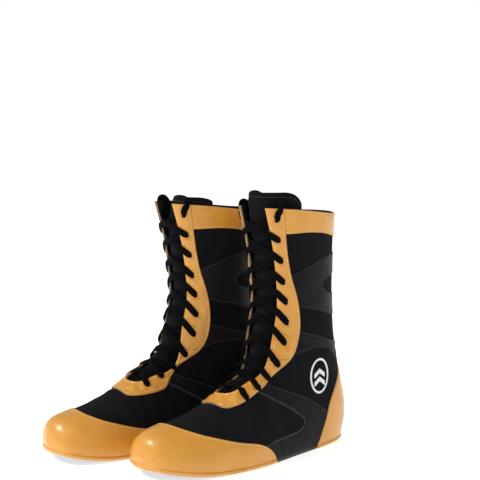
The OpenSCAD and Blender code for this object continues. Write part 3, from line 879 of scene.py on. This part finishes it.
def within(loop):
    """Distance inside a closed plan outline."""
    start, step = loop, np.roll(loop, -1, axis=0) - loop

    def field(p):
        best, turns = np.full(len(p), 1e9), np.zeros(len(p), bool)
        for (x, y), (dx, dy) in zip(start, step):
            px, py = p[:, 0] - x, p[:, 1] - y
            u = np.clip((px * dx + py * dy) / max(dx * dx + dy * dy, 1e-9), 0, 1)
            best = np.minimum(best, np.hypot(px - u * dx, py - u * dy))
            if abs(dy) > 1e-12:
                turns ^= ((y > p[:, 1]) != (y + dy > p[:, 1])) & (px < dx * (p[:, 1] - y) / dy)
        return np.where(turns, best, -best)
    return field


def plate(name, node, loop, low, high, material, soft_edge, tread=None):
    field = within(loop[::2])
    patch, _ = cut(SOLE, field)
    for level in (0.25 * soft_edge, 0.55 * soft_edge, soft_edge):
        patch, _ = cut(patch, field, level, drop=False)
    p = points(patch, 0.0)
    inside = field(p)
    drop = soft_edge * 0.8 * (1 - np.sqrt(np.clip(1 - (1 - np.clip(inside / soft_edge, 0, 1)) ** 2, 0, 1)))
    if tread is None:
        d_low, d_high = low, high - drop
    else:
        d_low, d_high = low + drop + tread(p, inside), high
    verts, tris, uv = shell(patch, d_low, d_high)
    ride(both(name, node, verts, tris, material, uv))


def tread(p, inside):
    """Depth of zigzag grooves under the ball and the heel, with a plain waist and border."""
    zigzag = np.abs((p[:, 0] / 16.0) % 1.0 - 0.5) * 9.0
    wave = ((p[:, 1] + zigzag) / 7.5) % 1.0
    groove = 1 - smoothstep((np.abs(wave - 0.5) - 0.13) / 0.1)
    zone = np.maximum(smoothstep((132 - p[:, 1]) / 3), smoothstep((p[:, 1] - 208) / 3))
    return 1.1 * groove * zone * smoothstep((inside - 6) / 2)


def soles():
    plate("outsole_tread", "outsole", outline(4.2, 1.25), 0.0, 3.9, RUBBER, 1.6, tread)
    inner = outline(5.0, -1.75)
    plate("insole_board_plate", "insole_board", inner, 4.0, 5.4, BOARD, 0.6)
    plate("sock_liner_pad", "sock_liner", inner, 5.5, 8.5, LINING_CLOTH, 2.0)


soles()


# ---- Reliefs ----------------------------------------------------------------------------------------

def soft(size, depth, seed):
    return lambda p: depth * ripples(p, size, seed)


def creases(p, middle, way, pitch, depth, spread, seed):
    """Folds across a flexing place: ridges of a pitch along way, fading away from middle."""
    away = (p - np.array(middle)) @ unit(np.array(way, float))
    wander = 0.25 * pitch * ripples(p, 22, seed)
    fade = np.exp(-((p[:, 1] - middle[1]) ** 2 + (p[:, 2] - middle[2]) ** 2) / spread ** 2)
    return depth * fade * np.sin(2 * math.pi * (away + wander) / pitch)


def facing_relief(p):
    low = smoothstep((165 - p[:, 2]) / 60)
    pucker = ripples(p, 7, 11) * (0.6 + 0.6 * low)
    around = hole_distance(p)
    return pucker + 0.35 * ripples(p, 26, 12) - 0.7 * np.exp(-((around - HOLE_R) / 1.6) ** 2)


def shaft_relief(p):
    return 0.35 * ripples(p, 30, 21) + 0.12 * ripples(p, 11, 22)


def ankle_relief(p):
    return (0.3 * ripples(p, 24, 31) + creases(p, (0, 205, 128), (0, 0.25, 1), 13, 0.55, 42, 32)
            + creases(p, (0, 255, 112), (0, -0.3, 1), 12, 0.4, 30, 33))


def midfoot_relief(p):
    return 0.3 * ripples(p, 20, 41) + creases(p, (0, 150, 45), (0, 1, 0.2), 15, 0.5, 34, 42)


def vamp_relief(p):
    return 0.3 * ripples(p, 26, 51) + creases(p, (0, 100, 60), (0, 1, 0.1), 17, 0.45, 30, 52)


# ---- Upper ---------------------------------------------------------------------------------------------

TEXTILE = dict(d_in=0.0, thick=0.9, material=CLOTH)
SKIN = dict(d_in=0.85, thick=0.85, material=BLACK_LEATHER, wall_look=BLACK_EDGE, edge_share=0.6)
OVERLAY = dict(d_in=1.2, thick=1.4, material=GOLD, wall_look=GOLD_EDGE)
FACING = dict(d_in=0.0, thick=2.6, material=GOLD, wall_look=FACING_EDGE, edge_share=0.75)
UNDER_EDGE = 3.5
GOLD_UNDER = 1.2


def grown(field, by):
    """The field with its edge moved out."""
    return lambda p: field(p) + by


not_facing = grown(minus(facing), GOLD_UNDER)
not_counter = grown(minus(counter), GOLD_UNDER)
not_cap = grown(minus(cap), GOLD_UNDER)
above = lambda curve, grow=0.0: side_field(curve, 1, -grow)
below = lambda curve, grow=0.0: side_field(curve, -1, -grow)


gold_rows = lambda *fields: [(f, 2.1, GOLD_THREAD) for f in fields]
black_rows = lambda *fields: [(f, 2.0, BLACK_THREAD) for f in fields]
LINING_FROM, VAMP_LINING_TO = 128, 127.9


def upper():
    ride(panel("toe_puff_shell", "toe_puff", WHOLE, [grown(cap, -8), floor], 0.0, 1.0, BOARD))
    ride(panel("heel_stiffener_shell", "heel_stiffener", WHOLE, [grown(counter, -8), floor], 0.0, 1.0, BOARD))
    ride(panel("vamp_cloth", "vamp", WHOLE, [grown(vamp, UNDER_EDGE), not_cap, not_facing, floor],
               relief=vamp_relief, **TEXTILE))
    for word, side in (("lateral", 1), ("medial", -1)):
        ride(panel(f"midfoot_{word}_leather", f"midfoot_{word}", WHOLE,
                   [below(MIDFOOT_TOP), minus(vamp), not_cap, not_counter, not_facing, floor, half(side)],
                   rows=[(minus(vamp), 2.0, GREY_THREAD), *black_rows(below(MIDFOOT_TOP))],
                   relief=midfoot_relief, **SKIN))
        ride(panel(f"ankle_patch_{word}_cloth", f"ankle_patch_{word}", WHOLE,
                   [above(MIDFOOT_TOP, UNDER_EDGE), below(PATCH_TOP, UNDER_EDGE), minus(vamp), not_counter,
                    not_facing, half(side)], relief=soft(24, 0.25, 61), **TEXTILE))
        ride(panel(f"lining_{word}_cloth", f"lining_{word}", WHOLE,
                   [grown(collar_edge, 0.9), opening, floor, lambda p: p[:, 1] - LINING_FROM,
                    half(side, 0.05)],
                   LINING_IN, LINING_OUT - LINING_IN, LINING_CLOTH, edge_share=0.6))
        ride(panel(f"facing_{word}_leather", f"facing_{word}", FRONT,
                   [facing, opening, holes, collar_edge, above(FACING_SEAM, -0.1), half(side)],
                   rows=gold_rows(facing, opening), relief=facing_relief, **FACING))
    ride(panel("ankle_band_leather", "ankle_band", WHOLE,
               [above(PATCH_TOP), below(BAND_TOP), not_counter, not_facing],
               rows=black_rows(above(PATCH_TOP), below(BAND_TOP)), relief=ankle_relief, **SKIN))
    ride(panel("elastic_band_cloth", "elastic_band", WHOLE,
               [above(BAND_TOP, UNDER_EDGE), below(ELASTIC_TOP, UNDER_EDGE), not_facing],
               0.0, 0.9, ELASTIC, relief=shaft_relief))
    ride(panel("rear_window_cloth", "elastic_band", WHOLE, [grown(window, UNDER_EDGE)],
               0.0, 0.9, ELASTIC, relief=shaft_relief))
    ride(panel("shaft_leather_panel", "shaft_leather", WHOLE,
               [above(ELASTIC_TOP), below(LEATHER_TOP), minus(window), not_facing],
               rows=black_rows(above(ELASTIC_TOP), below(LEATHER_TOP), minus(window)),
               relief=shaft_relief, **SKIN))
    ride(panel("shaft_textile_panel", "shaft_textile", WHOLE,
               [above(LEATHER_TOP, UNDER_EDGE), collar_edge, not_facing], relief=shaft_relief, **TEXTILE))
    ride(panel("toe_cap_leather", "toe_cap", WHOLE, [cap, floor], rows=gold_rows(cap),
               relief=soft(34, 0.3, 71), **OVERLAY))
    ride(panel("heel_counter_leather", "heel_counter", WHOLE, [counter, floor], rows=gold_rows(counter),
               relief=soft(28, 0.3, 72), **OVERLAY))
    ride(panel("collar_band_leather", "collar_band", WHOLE,
               [above(COLLAR_UNDER), collar_edge, minus(facing, 0.05)],
               rows=gold_rows(above(COLLAR_UNDER), collar_edge), relief=soft(26, 0.3, 73), **OVERLAY))
    ride(panel("facing_throat_leather", "facing_throat", FRONT, [facing, opening, holes, below(FACING_SEAM)],
               rows=[*gold_rows(facing, opening), (below(FACING_SEAM), 1.6, GOLD_THREAD)],
               relief=facing_relief, **FACING))
    ride(panel("vamp_lining_cloth", "vamp_lining", WHOLE,
               [opening, floor, lambda p: VAMP_LINING_TO - p[:, 1]],
               LINING_IN, LINING_OUT - LINING_IN, LINING_CLOTH, edge_share=0.6))


def lip(name, node, region):
    rise = lambda p: height(p) - 0.9
    top = lambda p: 5.2 - height(p)
    ride(panel(name, node, WHOLE, [rise, top, region], 2.3, 2.1, GOLD, bands=(0.4, 0.9, 1.5, 2.1),
               edge_share=0.12))


upper()
lip("toe_rand_lip", "toe_rand", cap)
lip("heel_rand_lip", "heel_rand", counter)


# ---- Tongue --------------------------------------------------------------------------------------------

TONGUE_BACK = [[96, 50], [150, 78], [190, 104], [208, 140], [207, 190], [204, 230], [203, 267], [202, 300]]
FLAP_Z, FOLD_FROM, FOLD_TO = 282, 267, 287
TONGUE_END = [[130, 0], [165, 0], [179, 0.4], [189, 2.7], [197, 7.2], [202, 13.5], [204, 20]]


def leaning(side):
    """Place function of a tongue whose top leans back in the front half of the shaft."""
    def place(t, c, s, d):
        fy, fz, by, bz = np.moveaxis(along(STATIONS, t), -1, 0)[:4]
        way = unit(np.stack([0 * fy, by - fy, bz - fz], -1))
        share = np.clip((fz - LEAN_FROM) / (TONGUE_TOP - LEAN_FROM), 0, None) ** 2
        return on_upper(t, c, s, d) + (TONGUE_LEAN[side] * share * np.clip(c, 0, None))[:, None] * way
    return place


def tongue():
    for prefix, side in SIDES.items():
        top = TONGUE_TOP - 0.5 - TONGUE_DROP[side]
        end = np.array(TONGUE_END, float) * [1, -(top - FLAP_Z) / (TONGUE_TOP - FLAP_Z)] + [0, top]
        edge = [below(end.tolist()), above(TONGUE_BACK), lambda p: p[:, 1] - 100]
        around = lambda p: np.min([f(p) for f in edge], axis=0)
        fat = lambda p: 1.3 * smoothstep((around(p) - 4) / 9) + 0.5 * ripples(p, 30, 81)
        cells = dict(grid(2.2, 4.6, 12.75, 105), place=leaning(side))
        pad, = panel("tongue_pad", "tongue tongue_flap", cells, edge, -9.9, 3.9, TONGUE_CLOTH,
                     rows=[(around, 5.0, BLACK_THREAD)], relief=fat, bands=(0.5, 1.2, 2.4, 4.0),
                     edge_share=0.35, sides={prefix: side})
        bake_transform(pad)


tongue()


# ---- Emblem ---------------------------------------------------------------------------------------------

def emblem():
    """A plain oval ring round two chevrons, printed on the outer ankle patches."""
    cy, cz, wide, tall, line = 227.0, 85.0, 15.0, 21.0, 2.4

    def ring(p):
        y, z = (p[:, 1] - cy) / wide, (p[:, 2] - cz) / tall
        r = np.hypot(y, z)
        size = r / np.maximum(np.hypot(y / wide, z / tall), 1e-6)
        return line / 2 - np.abs(r - 1 + line / 2 / wide) * size * 0.95

    def chevron(rise):
        def field(p):
            y, z = np.abs(p[:, 1] - cy), p[:, 2] - cz - rise
            return np.minimum(2.2 - np.abs(z + 0.7 * y) * 0.82, 8.5 - y)
        return field
    ride(panel("ankle_emblem", "", grid(1.0, 6.2, 9.3, 180),
               [either(ring, chevron(6.0), chevron(-3.5)), half(1, 5)], 0.85, 0.35, PRINT, bands=(0.15, 0.3)))


emblem()


# ---- Studio --------------------------------------------------------------------------------------------

def area_light(name, place, aim, size, power):
    data = bpy.data.lights.new(name, "AREA")
    data.shape, data.size, data.energy = "SQUARE", size, power
    thing = bpy.data.objects.new(name, data)
    thing.location = place
    thing.rotation_euler = (Vector(aim) - Vector(place)).to_track_quat("-Z", "Y").to_euler()
    bpy.context.scene.collection.objects.link(thing)


def studio():
    mesh = bpy.data.meshes.new("floor")
    r = 30.0
    mesh.from_pydata([(-r, -r, 0), (r, -r, 0), (r, r, 0), (-r, r, 0)], [], [(0, 1, 2, 3)])
    mesh.materials.append(simple("floor_look", (0.80, 0.80, 0.80), (0.81, 0.81, 0.81), 0.9, 3.0, 0.00001,
                                 Specular_IOR_Level=0.0, Emission_Color=(1, 1, 1, 1), Emission_Strength=0.66))
    thing = bpy.data.objects.new("floor", mesh)
    bpy.context.scene.collection.objects.link(thing)
    world = bpy.data.worlds.new("studio")
    world.use_nodes = True
    tree = world.node_tree
    background = next(n for n in tree.nodes if n.type == "BACKGROUND")
    background.inputs["Color"].default_value = (1.0, 1.0, 1.0, 1)
    background.inputs["Strength"].default_value = 0.42
    bright = tree.nodes.new("ShaderNodeBackground")
    bright.inputs["Color"].default_value = (1.0, 1.0, 1.0, 1)
    path = tree.nodes.new("ShaderNodeLightPath")
    choose = tree.nodes.new("ShaderNodeMixShader")
    output = next(n for n in tree.nodes if n.type == "OUTPUT_WORLD")
    tree.links.new(path.outputs["Is Camera Ray"], choose.inputs[0])
    tree.links.new(background.outputs[0], choose.inputs[1])
    tree.links.new(bright.outputs[0], choose.inputs[2])
    tree.links.new(choose.outputs[0], output.inputs["Surface"])
    bpy.context.scene.world = world
    area_light("key", (-0.6, -1.9, 1.9), (0, 0, 0.12), 0.6, 47)
    area_light("side", (2.2, -0.6, 1.3), (0, 0, 0.15), 1.0, 3)
    area_light("rear", (0.8, 2.0, 1.5), (0, 0, 0.15), 1.0, 9)
    bpy.context.scene.view_settings.view_transform = "Standard"


studio()
